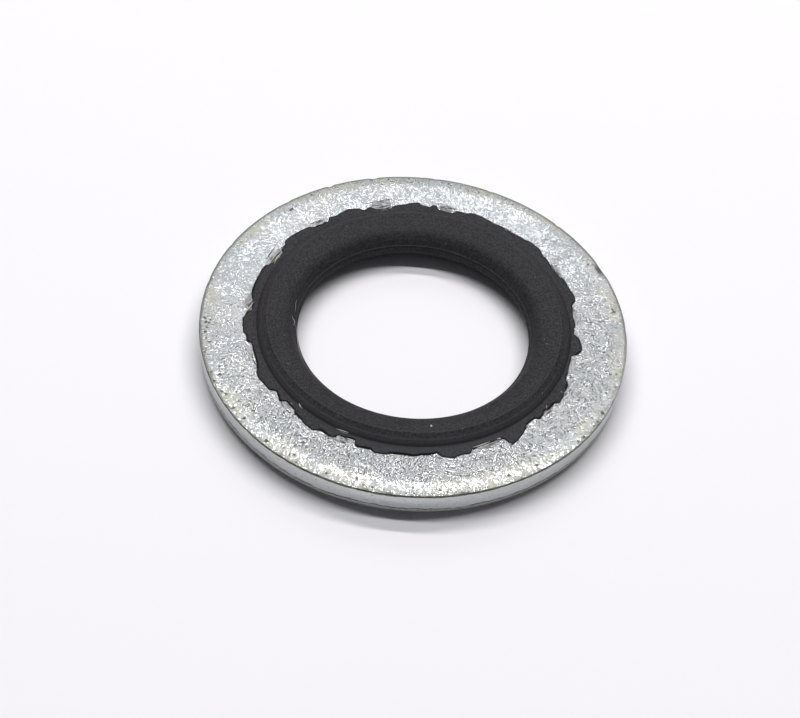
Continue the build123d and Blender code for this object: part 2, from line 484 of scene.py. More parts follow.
def oxide_colour(nodes, ring, place, zone):
    """Dull zinc oxide: warmer near the rim, bluish in patches, darker where worn or grimy."""
    patch = nodes.smooth(nodes.noise(place, 2.6 * MM, detail=3.0), 0.43, 0.60)
    grime = nodes.smooth(nodes.noise(place, 0.17 * MM, roughness=0.6), 0.47, 0.60)
    return nodes.coats(
        tuple(ring.oxide_colour),
        (zone.warm, tuple(ring.warm_oxide_colour)),
        (patch * 0.65, BLUE_OXIDE),
        (zone.worn_edge * 0.8, WORN_OXIDE),
        (grime * zone.near_rim * 0.45, GRIME),
    )


def zinc_plate(ring):
    """Bright zinc over tumbled steel: flecked, pitted near the rim, smeared by the film."""
    material, nodes, shader = new_material("zinc_plate")
    spot = polar_place(nodes)
    place, _, height = spot
    zone = plate_zones(nodes, ring, spot)

    # Flecks of bare, mirror-like zinc show between dull patches of zinc oxide.
    lay = round_place(nodes, spot, 0.80)
    swirl = nodes.noise(lay, 1.9 * ring.grain, detail=0.0, distortion=1.2)
    fleck = nodes.noise(lay, ring.grain, detail=1.0, roughness=0.65, distortion=0.6)
    fleck = 0.7 * fleck + 1.6 * abs(swirl - 0.5)
    blotch = nodes.noise(lay, 0.9 * MM)
    cover = fleck + 0.12 * (blotch - 0.5)
    cover = cover + 0.11 * zone.near_rim + 0.02 * zone.worn_edge - 0.5 * zone.side
    oxide = nodes.smooth(cover, 0.50, 0.56)

    wrinkle = plate_wrinkles(nodes, spot, zone.side)
    pit = plate_pits(nodes, place, fleck, zone)
    smear, fibre, fibre_colour = plate_smear(nodes, spot, zone.ragged)
    torn = nodes.attribute("torn")
    # The groove's mask lays painted shade in the break groove, and a share of it on the chip.
    groove = nodes.smooth(nodes.attribute("groove") + 0.30 * (zone.ragged - 0.5), 0.10, 0.40)

    bare_zinc = nodes.blend(
        nodes.smooth(fleck, 0.30, 0.50), tuple(ring.dark_fleck), tuple(ring.bright_fleck))
    colour = nodes.coats(
        bare_zinc,
        (nodes.smooth(blotch, 0.40, 0.70) * 0.22, CLOUDED_ZINC),
        (zone.side * 0.9, side_colour(nodes, ring, lay, height)),
        (oxide, oxide_colour(nodes, ring, place, zone)),
        # Painted shade in the creases of the wrinkles.
        (wrinkle * 0.45, WRINKLE_CREASE_SHADE),
        (zone.scuff * 0.8, SCUFF),
        (smear * 0.85, fibre_colour),
        (torn * 0.7, TORN_STEEL),
        (groove * 0.92, BREAK_GROOVE_SHADE),
        (pit * 0.95, PIT),
        (zone.edge_line, EDGE_LINE),
    )

    clean = (1.0 - smear) * (1.0 - pit) * (1.0 - zone.edge_line)
    dull = 1.0 - clean * (1.0 - 0.6 * torn) * (1.0 - 0.7 * zone.scuff)
    roughness = 0.07 + 0.05 * blotch + (0.22 + 0.12 * zone.near_rim) * oxide + 0.3 * dull
    metal = (1.0 - (0.95 - 0.16 * zone.near_rim) * oxide) * (1.0 - 0.8 * dull)

    crease = nodes.smooth(cover, 0.46, 0.62)
    dimple = nodes.noise(lay, 0.3 * MM, detail=0.0, distortion=1.2)
    relief = (crease - 0.5 * wrinkle) * (1.0 - smear) * (1.0 - 0.6 * zone.near_rim)
    relief = relief + 2.0 * fibre * smear + 0.3 * dimple - pit * 0.5
    bump = nodes.bump(relief, 0.015 * MM)
    feed(nodes, shader, Base_Color=colour, Metallic=metal, Roughness=roughness, Normal=bump)
    return material


# ---------------------------------------------------------------- rubber and table

# Linear colours of the rubber: painted sheen on its film and painted fill light on its lip's flank,
# both towards the front, painted shade along the film's torn edge, and dust.
FILM_SHEEN = (0.043, 0.042, 0.053, 1)
LIP_FLANK_LIGHT = (0.060, 0.058, 0.063, 1)
TORN_EDGE_SHADE = (0.010, 0.010, 0.011, 1)
DUST = (0.20, 0.20, 0.20, 1)


def nitrile_rubber(seal):
    """Matt black moulded rubber: fine grain, faint rings from the turned mould, dust, and painted
    light and shade on the film, the flank and the film's torn edge.
    """
    material, nodes, shader = new_material("nitrile_rubber")
    place, radius, height = polar_place(nodes)
    grain = nodes.noise(place, 0.06 * MM, detail=3.0, roughness=0.6)
    speckle = nodes.noise(place, 0.13 * MM, roughness=0.6)
    cloud = nodes.noise(place, 1.6 * MM, detail=3.0)
    ring_place = nodes.add("ShaderNodeCombineXYZ", {}, {0: radius, 1: height * 0.4})
    turned = nodes.noise(ring_place, 0.09 * MM)
    speck = 1.0 - nodes.smooth(nodes.scattered(place, 0.9 * MM), 0.03, 0.07)

    shade = 0.25 * cloud + 0.35 * turned + 0.40 * nodes.smooth(speckle, 0.30, 0.70)
    colour = nodes.coats(
        tuple(seal.dark_colour),
        (nodes.smooth(shade, 0.28, 0.72), tuple(seal.worn_colour)),
        # Painted sheen on the film and painted fill light on the lip's flank, both towards the
        # front.
        (nodes.attribute("on_film") * 0.5, FILM_SHEEN),
        (nodes.attribute("flank") * 0.8, LIP_FLANK_LIGHT),
        # Painted shade along the film's torn edge.
        (nodes.attribute("torn_edge_shade"), TORN_EDGE_SHADE),
        (speck * 0.5, DUST),
    )
    roughness = 0.50 + 0.12 * grain + 0.10 * cloud
    bump = nodes.bump(grain * 0.5 + turned * 0.5, 0.012 * MM, strength=0.5)
    feed(
        nodes, shader, Base_Color=colour, Metallic=0.0, Roughness=roughness, Normal=bump,
        Specular_IOR_Level=0.12)
    return material


def table_top(stage):
    """Smooth white surface under the washer, with a wide, barely visible mottle."""
    material, nodes, shader = new_material("table_top")
    mottle = nodes.noise(nodes.add("ShaderNodeTexCoord", output=3), 30 * MM)
    shaded = tuple(channel * 0.985 for channel in stage.floor_colour)
    colour = nodes.blend(mottle, tuple(stage.floor_colour), shaded)
    feed(nodes, shader, Base_Color=colour, Roughness=0.8, Metallic=0.0)
    return material


# ---------------------------------------------------------------- meshes

def swing(corners, angles):
    """Values at the angles, eased from each (angle, value) corner to the next."""
    corner_angles, corner_values = np.array(corners, float).T
    last = np.clip(np.searchsorted(corner_angles, angles, side="right"), 1, len(corners) - 1)
    span = corner_angles[last] - corner_angles[last - 1]
    share = (angles - corner_angles[last - 1]) / span
    share = share * share * (3 - 2 * share)
    return corner_values[last - 1] + share * (corner_values[last] - corner_values[last - 1])


def ripple(angles, counts, seed):
    """Random waviness round the circle, from -1 to 1, with these many waves a turn."""
    chance = np.random.default_rng(seed)
    total = np.zeros_like(angles)
    for count in counts:
        total += np.cos(np.radians(angles) * count + chance.uniform(0, 2 * math.pi))
    return total / len(counts)


def off_angle(angles, middle):
    """How many degrees each angle lies past the middle, from -180 to 180."""
    return (angles - middle + 180) % 360 - 180


def lobe(angles, middle, half_width, power=2.0):
    """1 at the middle angle, falling to 0 at the half width, round the circle."""
    off = np.abs(off_angle(angles, middle)) / half_width
    return np.clip(1 - off ** power, 0, 1)


def straight(start, end, step):
    """Points from start to end, both of them included, at most a step apart."""
    start, end = np.array(start, float), np.array(end, float)
    pieces = max(1, math.ceil(np.linalg.norm(end - start) / step - 1e-6))
    return [start + (end - start) * k / pieces for k in range(pieces + 1)]


def rounded(corners, step, facet=22 * DEGREE):
    """A run of points through (radius, height, rounding) corners, at most a step apart, with
    no more than a facet's turn between the points of a rounding."""
    places = [np.array(corner[:2], float) for corner in corners]
    roundings = [corner[2] for corner in corners]
    run = [places[0]]
    for before, place, after, rounding in zip(places, places[1:], places[2:], roundings[1:]):
        into = (place - before) / np.linalg.norm(place - before)
        out = (after - place) / np.linalg.norm(after - place)
        turn = math.acos(float(np.clip(into @ out, -1, 1)))
        cut = rounding * math.tan(turn / 2)
        start, end = place - into * cut, place + out * cut
        run += straight(run[-1], start, step)[1:]
        pieces = max(2, math.ceil(turn / facet)) if rounding else 0
        for k in range(1, pieces + 1):
            share = k / pieces
            bend = 2 * share * (1 - share) * place
            run.append((1 - share) ** 2 * start + bend + share ** 2 * end)
    run += straight(run[-1], places[-1], step)[1:]
    return np.array(run)


def new_object(name, data):
    """An object in the scene that shows this data."""
    made = bpy.data.objects.new(name, data)
    bpy.context.scene.collection.objects.link(made)
    return made


def add_attribute(mesh, label, values):
    """A number at each of the mesh's points, for the materials and the node trees."""
    layer = mesh.attributes.new(label, "FLOAT", "POINT")
    layer.data.foreach_set("value", values.astype(np.float32).reshape(-1))


def polar_points(radius, height, angles):
    """Points in metres, from radii, heights and angles in degrees."""
    turn = np.radians(angles)
    return np.stack([radius * np.cos(turn), radius * np.sin(turn), height], axis=-1)


def lathe(name, radius, height, angles, attributes):
    """Closed ring from a closed section: arrays of radius and height, section by angle."""
    rows, columns = radius.shape
    index = np.arange(rows * columns).reshape(rows, columns)
    right = np.roll(index, -1, axis=1)
    up = np.roll(index, -1, axis=0)
    up_right = np.roll(up, -1, axis=1)
    quads = np.stack([index, right, up_right, up], axis=-1).reshape(-1, 4)
    mesh = bpy.data.meshes.new(name)
    mesh.vertices.add(rows * columns)
    mesh.vertices.foreach_set("co", polar_points(radius, height, angles).reshape(-1))
    mesh.loops.add(quads.size)
    mesh.loops.foreach_set("vertex_index", quads.reshape(-1))
    mesh.polygons.add(len(quads))
    mesh.polygons.foreach_set("loop_start", np.arange(0, quads.size, 4))
    mesh.polygons.foreach_set("use_smooth", np.ones(len(quads), bool))
    for label, values in attributes.items():
        add_attribute(mesh, label, np.broadcast_to(values, radius.shape))
    mesh.update(calc_edges=True)
    mesh.validate()
    return new_object(name, mesh)


# ---------------------------------------------------------------- steel ring

def ring_section(ring):
    """The ring's section as (radius, height) points, anticlockwise from the lower bore."""
    outer = ring.outer_radius
    edge = ring.edge_round
    band_top = ring.bottom + ring.torn_height

    # Between these the rows are close, for the torn band and the groove above it.
    fine_from = (outer - 0.35 * MM, ring.bottom)
    fine_to = (outer, band_top + 0.25 * MM)
    side_top = (outer, rim_top(ring) - 0.15 * MM)
    lower_face = straight((ring.bore_radius, ring.bottom), fine_from, 0.30 * MM)
    rough_band = rounded([
        (*fine_from, 0),
        (outer - ring.torn_inset, ring.bottom, 0.015 * MM),
        (outer, band_top, 0),
        (*fine_to, 0),
    ], 0.035 * MM)
    side = straight(fine_to, side_top, 0.10 * MM)
    corner = rounded([
        (*side_top, 0),
        (outer, rim_top(ring), edge),
        (outer - edge, rim_top(ring), 0),
    ], 0.045 * MM)[:-1]
    # The face is drawn down slowly at first, and steeply close to the edge.
    share = np.linspace(1, 0, 17)
    rollover = np.stack([
        outer - edge - (1 - share) * (ring.rollover_width - edge),
        ring.top - ring.rollover_drop * share ** 1.75,
    ], axis=-1)
    upper_face = straight(rollover[-1], (ring.bore_radius, ring.top), 0.12 * MM)
    bore = straight((ring.bore_radius, ring.top), (ring.bore_radius, ring.bottom), 1 * MM)
    parts = (lower_face, rough_band, side, corner, rollover, upper_face, bore)
    return np.concatenate([part[:-1] for part in parts])


def edge_knocks(ring, angles, radius, height):
    """How far the knocks push each point of the rim's upper edge in, and as far down."""
    knock = np.zeros_like(angles)
    for middle, half_width, depth in EDGE_KNOCKS:
        knock = np.maximum(knock, depth * MM * lobe(angles, middle, half_width))
    knock += 0.004 * MM * (1 + ripple(angles, (37, 61, 97, 143), seed=3))
    off_edge = np.hypot(radius - ring.outer_radius, height - rim_top(ring))
    return 0.7 * knock * np.exp(-(off_edge / (0.11 * MM)) ** 2)


def torn_band(ring, angles, radius, height):
    """The break groove and the torn band below it, each from 0 to 1, and how deep both cut. The
    groove's mask also colours the groove with painted shade.
    """
    on_side = radius > ring.outer_radius - 0.2 * MM
    # The groove wanders up and down the rim, highest at the front left, and its depth varies.
    line = 1.05 + 0.42 * ripple(angles, (5, 11, 23, 41, 67, 103, 157), seed=8)
    line = ring.bottom + ring.torn_height * (line + 0.6 * lobe(angles, 226, 22))
    strength = np.clip(0.55 + 0.6 * ripple(angles, (7, 19, 31, 57, 101), seed=4), 0.1, 1)
    groove = on_side * strength * np.exp(-((height - line) / (0.042 * MM)) ** 2)
    torn = on_side * np.clip((line - height) / (0.04 * MM), 0, 1)
    chatter = 0.5 + 0.5 * ripple(angles, (47, 83, 139, 211, 307), seed=12)
    fade = np.clip((height - ring.bottom) / (0.08 * MM), 0, 1)
    return groove, torn, groove * ring.groove + torn * chatter * fade * ring.chatter


def smear_map(ring, angles, radius, height):
    """How thickly rubber is smeared over the upper face, from 0 to 1."""
    smear = np.zeros_like(radius)
    reach = (radius - LIP_FOOT) / MM
    ragged = 1.1 + 0.45 * ripple(angles, (97, 151, 229), seed=5)
    # Each smear starts a little under the film's edge and thins out towards its far end.
    for middle, half_width, inner, far, strength in SMEARS:
        across = np.clip((reach - inner + 0.25) / 0.1, 0, 1) * np.clip((far - reach) / 0.35, 0, 1)
        along = lobe(angles, middle, half_width * ragged)
        smear = np.maximum(smear, strength * across * along)
    return smear * (height > (ring.bottom + ring.top) / 2)


def mark_map(ring, angles, radius, height):
    """1 in the middle of each mark on the upper face, falling off to 0 around it."""
    mark = np.zeros_like(radius)
    for middle, middle_radius, size in MARKS:
        along = off_angle(angles, middle) * DEGREE * middle_radius
        off = np.hypot(along, radius / MM - middle_radius) / size
        mark = np.maximum(mark, np.exp(-off ** 2))
    return mark * (height > rim_top(ring) - 0.1 * MM)


def ring_surface(ring):
    """The ring's angles, radii and heights, and its surface attributes by name."""
    angles = np.arange(ring.columns) * 360 / ring.columns
    section = ring_section(ring)
    radius = np.repeat(section[:, :1], ring.columns, axis=1)
    height = np.repeat(section[:, 1:], ring.columns, axis=1)

    knock = edge_knocks(ring, angles, radius, height)
    radius = radius - knock
    height = height - knock
    groove, torn, cut = torn_band(ring, angles, radius, height)
    radius = radius - cut

    # The chip is as wide as its knock, on the upper face and the top of the side.
    chip = np.clip((radius - ring.outer_radius + 0.47 * MM) / (0.12 * MM), 0, 1)
    chip = chip * lobe(angles, CHIP_ANGLE, CHIP_HALF_WIDTH) * (height > rim_top(ring) - 0.15 * MM)
    mark = mark_map(ring, angles, radius, height)
    # In millimetres: the dark line lies lowest at the front right, where the edge is worn most.
    edge_drop = 0.08 + 0.08 * lobe(angles, 337, 30)
    edge_drop = edge_drop + 0.020 * ripple(angles, (13, 29, 53, 89, 151), seed=6)
    # Wrinkles show at the right and the front left, and the edge is scuffed but for the front.
    attributes = {
        # Painted shade for the break groove, and a share of it on the chip.
        "groove": np.maximum(groove, CHIP_SHADE * chip),
        "torn": np.maximum(torn, chip),
        "smear": smear_map(ring, angles, radius, height),
        "mark": mark,
        "edge_drop": edge_drop,
        "wrinkled": 0.1 + 0.9 * np.maximum(lobe(angles, 352, 72), 0.8 * lobe(angles, 250, 60)),
        "scuffed": lobe(angles, 105, 125, power=6.0),
    }
    return angles, radius, height - mark * ring.mark_depth, attributes


def tumbled_tree(material):
    """Geometry nodes that dent a surface all over and pit it near the rim."""
    labels = ("Dent Depth", "Dent Size", "Pit Depth", "Pit Size", "Pitted From", "Seed")
    nodes, given = open_tree("tumbled_surface", dict.fromkeys(labels, "NodeSocketFloat"))
    place = nodes.add("GeometryNodeInputPosition")

    def noise(shift, scale, detail):
        """Noise of its own for each shift of the seed."""
        return nodes.add("ShaderNodeTexNoise", {"noise_dimensions": "4D"}, {
            "Vector": place, "W": given["Seed"] + shift, "Scale": scale, "Detail": detail})

    dent = noise(0.0, 1.0 / given["Dent Size"], 2.0)
    swell = noise(7.0, 0.22 / given["Dent Size"], 1.0)
    cluster = noise(3.0, 0.16 / given["Pit Size"], 1.0)
    pit = nodes.add(
        "ShaderNodeTexVoronoi", {"voronoi_dimensions": "4D", "feature": "F1"},
        {"Vector": place, "W": given["Seed"], "Scale": 0.4 / given["Pit Size"]})
    radius = nodes.length(nodes.flat(place))
    near_rim = nodes.smooth(radius, given["Pitted From"], given["Pitted From"] + 1.2 * MM)
    hole = (1.0 - nodes.smooth(pit, 0.10, 0.32)) * nodes.smooth(cluster, 0.52, 0.62) * near_rim
    rise = (dent - 0.5) * given["Dent Depth"] + (swell - 0.5) * given["Dent Depth"]
    rise = rise - hole * given["Pit Depth"]
    normal = nodes.add("GeometryNodeInputNormal")
    offset = nodes.vector("SCALE", {0: normal, "Scale": rise})
    moved = nodes.add(
        "GeometryNodeSetPosition", {}, {"Geometry": given["Geometry"], "Offset": offset})
    return close_tree(nodes, moved, material)


class RingSettings(PropertyGroup):
    """Sizes and colours of the plated ring"""
    outer_radius: length_setting("Outer radius", "Radius of the rim", RING_HIGH.x)
    bore_radius: length_setting(
        "Bore radius", "Radius of the steel's own bore, under the rubber", STEEL_BORE)
    bottom: length_setting("Bottom", "Height of the lower face", RING_LOW.z)
    top: length_setting("Top", "Height of the upper face", RING_HIGH.z)
    rollover_width: length_setting(
        "Rollover width", "Outer band drawn down by the punch", 1.3 * MM)
    rollover_drop: length_setting(
        "Rollover drop", "How far the rim's upper edge is drawn down", 0.1 * MM)
    edge_round: length_setting("Edge rounding", "Rounding of the rim's upper edge", 0.05 * MM)
    torn_height: length_setting(
        "Torn band height", "Rough band at the bottom of the rim", 0.25 * MM)
    torn_inset: length_setting(
        "Torn band inset", "How far the rough band leans in", 0.03 * MM)
    groove: length_setting(
        "Break groove", "Depth of the ragged line where the rough band begins", 0.05 * MM)
    chatter: length_setting("Chatter", "Depth of the rough band's upright ribs", 0.025 * MM)
    mark_depth: length_setting(
        "Mark depth", "Depth of the single pits and scars", 0.01 * MM)
    dent_depth: length_setting("Dent depth", "Depth of the tumbling dents", 0.012 * MM)
    dent_size: length_setting("Dent size", "Width of the tumbling dents", 0.8 * MM)
    pit_depth: length_setting("Pit depth", "Depth of the pits near the rim", 0.02 * MM)
    pit_size: length_setting("Pit size", "Width of the pits near the rim", 0.2 * MM)
    pitted_width: length_setting(
        "Pitted band", "How far in from the rim the pits reach", 1.9 * MM)
    grain: length_setting("Fleck size", "Size of the flecks in the plating", 0.095 * MM)
    dark_fleck: colour_setting(
        "Dark fleck", "Bare zinc in its darker flecks", 0.46, 0.48, 0.51)
    bright_fleck: colour_setting(
        "Bright fleck", "Bare zinc in its brighter flecks", 0.82, 0.83, 0.85)
    oxide_colour: colour_setting(
        "Oxide", "Dull zinc oxide between the flecks", 0.497, 0.507, 0.517)
    warm_oxide_colour: colour_setting(
        "Warm oxide", "The yellower oxide near the rim", 0.468, 0.463, 0.410)
    side_colour: colour_setting("Side", "Zinc on the side of the rim", 0.515, 0.532, 0.505)
    columns: count_setting("Columns", "Mesh divisions round the ring", 960)
    seed: count_setting("Seed", "Picks where the dents and pits lie", 2)


class WASHER_OT_plated_ring(Operator):
    """Makes the blanked steel ring with its plating, dents, pits and knocks"""
    bl_idname = "washer.plated_ring"
    bl_label = "Plated ring"

    def execute(self, context):
        ring = context.scene.washer_ring
        angles, radius, height, attributes = ring_surface(ring)
        piece = lathe("plated_ring", radius, height, angles, attributes)
        bake_tree(piece, tumbled_tree(zinc_plate(ring)), {
            "Dent Depth": ring.dent_depth, "Dent Size": ring.dent_size,
            "Pit Depth": ring.pit_depth, "Pit Size": ring.pit_size,
            "Pitted From": ring.outer_radius - ring.pitted_width, "Seed": float(ring.seed),
        })
        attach(piece, "root")
        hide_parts("steel_ring")
        return {"FINISHED"}


# ---------------------------------------------------------------- rubber seal

FILM_START = 0.03 * MM  # from the foot out to where the film begins
SUNK = 0.02 * MM  # how deep the seal's hidden faces lie in the steel, so that no gap shows

# The film's outer skin: share of the way out from its start to its torn edge, and thickness
# as a share of the full one. Then the same close to the edge, by distance from it.
FILM_SKIN = ((0.12, 1.0), (0.3, 1.0), (0.5, 0.97), (0.7, 0.92), (0.86, 0.85))
FILM_EDGE = ((0.09 * MM, 0.80), (0.02 * MM, 0.72), (0, 0.40))

# The widest gaps between rows along the section's two sides.
UPPER_STEP, LOWER_STEP = 0.17 * MM, 0.35 * MM


def lip_side(seal, face):
    """One side of the seal's section from the mid-plane: land, throat, funnel, lip, foot."""
    crest = face + seal.lip_height
    crest_radius = LIP_FOOT - seal.flank_width
    crest_inner = crest_radius - seal.crest_width / 2
    crest_outer = crest_radius + seal.crest_width / 2
    throat_rise = math.tan(seal.throat_slope)
    funnel_rise = math.tan(seal.funnel_slope)
    step_inner = seal.bore_radius + seal.step_inset
    step_outer = step_inner + seal.step_width
    rise = crest - funnel_rise * (crest_inner - step_outer) - seal.step_height
    run = rise / (throat_rise - funnel_rise)
    ledge = crest_outer + seal.ledge_offset
    ledge_end = (ledge + seal.ledge_width, crest - seal.ledge_depth - seal.ledge_fall)
    foot = (LIP_FOOT - 0.02 * MM, face + 0.03 * MM)
    # The flank bellies out a little between the ledge and the foot.
    belly = (
        ledge_end[0] * 0.45 + foot[0] * 0.55 + 0.010 * MM,
        (ledge_end[1] + foot[1]) / 2 + 0.012 * MM,
    )
    return [
        (seal.bore_radius, 0, 0),
        (seal.bore_radius, seal.land_height / 2, 0.04 * MM),
        (step_inner, seal.step_height - seal.step_drop, 0.02 * MM),
        (step_inner, seal.step_height, 0.015 * MM),
        (step_outer, seal.step_height, 0.012 * MM),
        (step_outer + run, seal.step_height + throat_rise * run, seal.throat_radius),
        (crest_inner, crest, 0.03 * MM),
        (crest_outer, crest, 0.03 * MM),
        (ledge, crest - seal.ledge_depth, 0.02 * MM),
        (*ledge_end, 0.05 * MM),
        (*belly, 0.1 * MM),
        (*foot, 0.02 * MM),
        (LIP_FOOT + FILM_START, face + 0.055 * MM, 0),
    ]


def film_tips(corners, angles, seed):
    """Radius of a film's torn edge at each angle."""
    ragged = 0.022 * ripple(angles, (83, 127, 181, 239, 313, 397), seed)
    return LIP_FOOT + (swing(corners, angles) + ragged) * MM


def film_rows(seal, face, tips):
    """Rows of a film's outer skin, torn edge and hidden side, out and back to the bore."""
    start = LIP_FOOT + FILM_START
    rows = []
    for share, thickness in FILM_SKIN:
        rows.append((start + (tips - start) * share, face + seal.film * thickness))
    for inside, thickness in FILM_EDGE:
        rows.append((tips - inside, face + seal.film * thickness))
    hidden = (tips, (start + tips) / 2, STEEL_BORE + 0.1 * MM, STEEL_BORE - 0.01 * MM)
    rows += [(radius, face - SUNK) for radius in hidden]
    return rows


def seal_side(seal, step, tips):
    """Arrays of radius and height for one side of the seal, from the land's middle outwards."""
    face = seal.thickness / 2
    rows = [tuple(point) for point in rounded(lip_side(seal, face), step)]
    rows += film_rows(seal, face, tips)
    radius = np.array([np.broadcast_to(row[0], tips.shape) for row in rows])
    height = np.array([np.broadcast_to(row[1], tips.shape) for row in rows])
    return radius, height


def seal_surface(seal):
    """The seal's angles, radii and heights, anticlockwise from the land, and its attributes."""
    angles = np.arange(seal.columns) * 360 / seal.columns
    tips = film_tips(UPPER_FILM, angles, seed=21)
    radius, height = seal_side(seal, UPPER_STEP, tips)
    lower_tips = film_tips(LOWER_FILM, angles, seed=34)
    lower_radius, lower_height = seal_side(seal, LOWER_STEP, lower_tips)
    radius = np.concatenate([lower_radius[1:], radius[::-1]])
    height = np.concatenate([-lower_height[1:], height[::-1]])

    # The soft hole sits a little low and is a little wider than it is deep.
    soft_width = 1.4 * MM
    near_hole = np.clip((seal.bore_radius + soft_width - radius) / soft_width, 0, 1)
    turn = np.radians(angles)
    stray = 0.5 * np.cos(2 * turn) - 0.35 * np.sin(turn) - 0.15
    radius = radius + near_hole * seal.out_of_round * stray

    # Painted light towards the front: a painted sheen on the film, and painted fill light on the
    # lip's flank.
    on_film = np.clip((radius - LIP_FOOT) / (0.06 * MM), 0, 1)
    flank = np.clip((radius - LIP_FOOT) / (0.6 * MM) + 1, 0, 1) * (radius < LIP_FOOT)
    attributes = {
        "on_film": on_film * (0.05 + 0.95 * lobe(angles, 277, 42)),
        # Painted shade along the film's torn edge, where its upright edge lies in shade and casts a
        # contact shadow.
        "torn_edge_shade": np.clip(1.25 - (tips - radius) / (0.08 * MM), 0, 1) * on_film,
        "flank": flank * (height > seal.thickness / 2) * lobe(angles, 265, 90),
    }
    return angles, radius, height + seal.middle, attributes


class SealSettings(PropertyGroup):
    """Sizes and colours of the rubber seal"""
    bore_radius: length_setting("Bore radius", "Radius of the clear hole", HOLE_RADIUS)
    thickness: length_setting(
        "Steel thickness", "Between the two steel faces", RING_HIGH.z - RING_LOW.z)
    middle: length_setting(
        "Middle", "Height of the mid-plane", (SEAL_LOW.z + SEAL_HIGH.z) / 2)
    lip_height: length_setting(
        "Lip height", "Crest above the steel's face", SEAL_HIGH.z - RING_HIGH.z)
    land_height: length_setting("Land height", "Straight band round the hole", 0.2 * MM)
    step_height: length_setting(
        "Step height", "Witness line of the mould's core pin, above the mid-plane", 0.35 * MM)
    step_width: length_setting("Step width", "Width of the witness line's ledge", 0.05 * MM)
    step_inset: length_setting(
        "Step inset", "From the clear hole out to the witness line", 0.11 * MM)
    step_drop: length_setting(
        "Step drop", "Upright face below the witness line's ledge", 0.12 * MM)
    throat_slope: angle_setting("Throat slope", "Slope of the throat from level", 60 * DEGREE)
    funnel_slope: angle_setting("Funnel slope", "Slope of the funnel from level", 17 * DEGREE)
    throat_radius: length_setting(
        "Throat radius", "Rounding between throat and funnel", 0.8 * MM)
    crest_width: length_setting("Crest width", "Flat along the top of the lip", 0.1 * MM)
    flank_width: length_setting(
        "Flank width", "From the foot to the middle of the crest", 0.71 * MM)
    ledge_offset: length_setting(
        "Ledge offset", "From the crest's flat out to the step in the flank", 0.32 * MM)
    ledge_depth: length_setting(
        "Ledge depth", "From the crest down to the step in the flank", 0.24 * MM)
    ledge_width: length_setting("Ledge width", "Width of the step in the flank", 0.05 * MM)
    ledge_fall: length_setting("Ledge fall", "How far the step slopes down", 0.02 * MM)
    out_of_round: length_setting(
        "Out of round", "How far the soft hole strays from a true circle", 0.12 * MM)
    film: length_setting(
        "Film thickness", "Thickness of the torn film on the steel", 0.06 * MM)
    dark_colour: colour_setting("Rubber", "Colour of the clean rubber", 0.0222, 0.0210, 0.0243)
    worn_colour: colour_setting(
        "Worn rubber", "Colour of the rubbed and dusty rubber", 0.0455, 0.0431, 0.0484)
    columns: count_setting("Columns", "Mesh divisions round the seal", 800)


class WASHER_OT_moulded_seal(Operator):
    """Makes the rubber seal with its two lips and its torn film"""
    bl_idname = "washer.moulded_seal"
    bl_label = "Moulded seal"

    def execute(self, context):
        seal = context.scene.washer_seal
        angles, radius, height, attributes = seal_surface(seal)
        piece = lathe("moulded_seal", radius, height, angles, attributes)
        piece.data.materials.append(nitrile_rubber(seal))
        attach(piece, "root")
        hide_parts("rubber_seal")
        return {"FINISHED"}


# ---------------------------------------------------------------- torn threads

def thread_rows(threads, chance):
    """The lone threads and those that lie at random in the smears, one row each."""
    rows = list(LONE_THREADS)
    for middle, half_width, inner, far, strength in SMEARS:
        for _ in range(int(threads.per_smear * (0.5 + strength))):
            first = middle + half_width * chance.uniform(-1.1, 0.5)
            last = first + half_width * chance.uniform(0.35, 0.95)
            reach = chance.uniform(inner - 0.12, far - 0.10)
            lift = chance.uniform(0.004, 0.050)
            rows.append((
                first, last, reach, reach + chance.normal(0, 0.05),
                lift, lift * chance.uniform(0.5, 1.2),
                chance.uniform(0.022, 0.055), chance.choice([0.05, 0.12, 0.45, 0.7, 0.9, 1.0]),
            ))
    return rows


def thread_paths(threads):
    """Points along each thread, which sways and tapers, and their half thickness and shade."""
    chance = np.random.default_rng(threads.seed)
    columns = np.array(thread_rows(threads, chance)).T[:, :, None]
    first, last, reach, last_reach, lift, last_lift, thickness, shade = columns
    share = np.linspace(0, 1, threads.points)
    bends = chance.uniform(1.0, 3.0, first.shape)
    sway = np.sin(share * math.pi * bends) * chance.uniform(-0.05, 0.05, first.shape)
    angles = first + (last - first) * share
    radius = LIP_FOOT + (reach + (last_reach - reach) * share + sway) * MM
    height = threads.top + (lift + (last_lift - lift) * share) * MM
    half = thickness * MM * (0.25 + 0.75 * np.sin(share * math.pi)) / 2
    return polar_points(radius, height, angles), half, np.broadcast_to(shade, half.shape)


def thread_lines(name, threads):
    """The threads' middle lines: a mesh of edges, with thickness and shade at its points."""
    places, thickness, shade = thread_paths(threads)
    index = np.arange(thickness.size).reshape(thickness.shape)
    edges = np.stack([index[:, :-1], index[:, 1:]], axis=-1).reshape(-1, 2)
    mesh = bpy.data.meshes.new(name)
    mesh.from_pydata(places.reshape(-1, 3).tolist(), edges.tolist(), [])
    add_attribute(mesh, "thickness", thickness)
    add_attribute(mesh, "shade", shade)
    return new_object(name, mesh)


def thread_tree(material):
    """Geometry nodes that turn lines into round threads, as thick as their points say."""
    nodes, given = open_tree(
        "torn_threads", {"Thickness": "NodeSocketFloat", "Sides": "NodeSocketInt"})
    lines = nodes.add("GeometryNodeMeshToCurve", {}, {"Mesh": given["Geometry"]})
    thickness = nodes.add(
        "GeometryNodeInputNamedAttribute", {"data_type": "FLOAT"}, {"Name": "thickness"})
    section = nodes.add(
        "GeometryNodeCurvePrimitiveCircle", {}, {"Resolution": given["Sides"], "Radius": 1.0})
    tubes = nodes.add("GeometryNodeCurveToMesh", {}, {
        "Curve": lines, "Profile Curve": section, "Scale": thickness * given["Thickness"],
        "Fill Caps": True})
    smooth = nodes.add("GeometryNodeSetShadeSmooth", {}, {"Geometry": tubes})
    return close_tree(nodes, smooth, material)


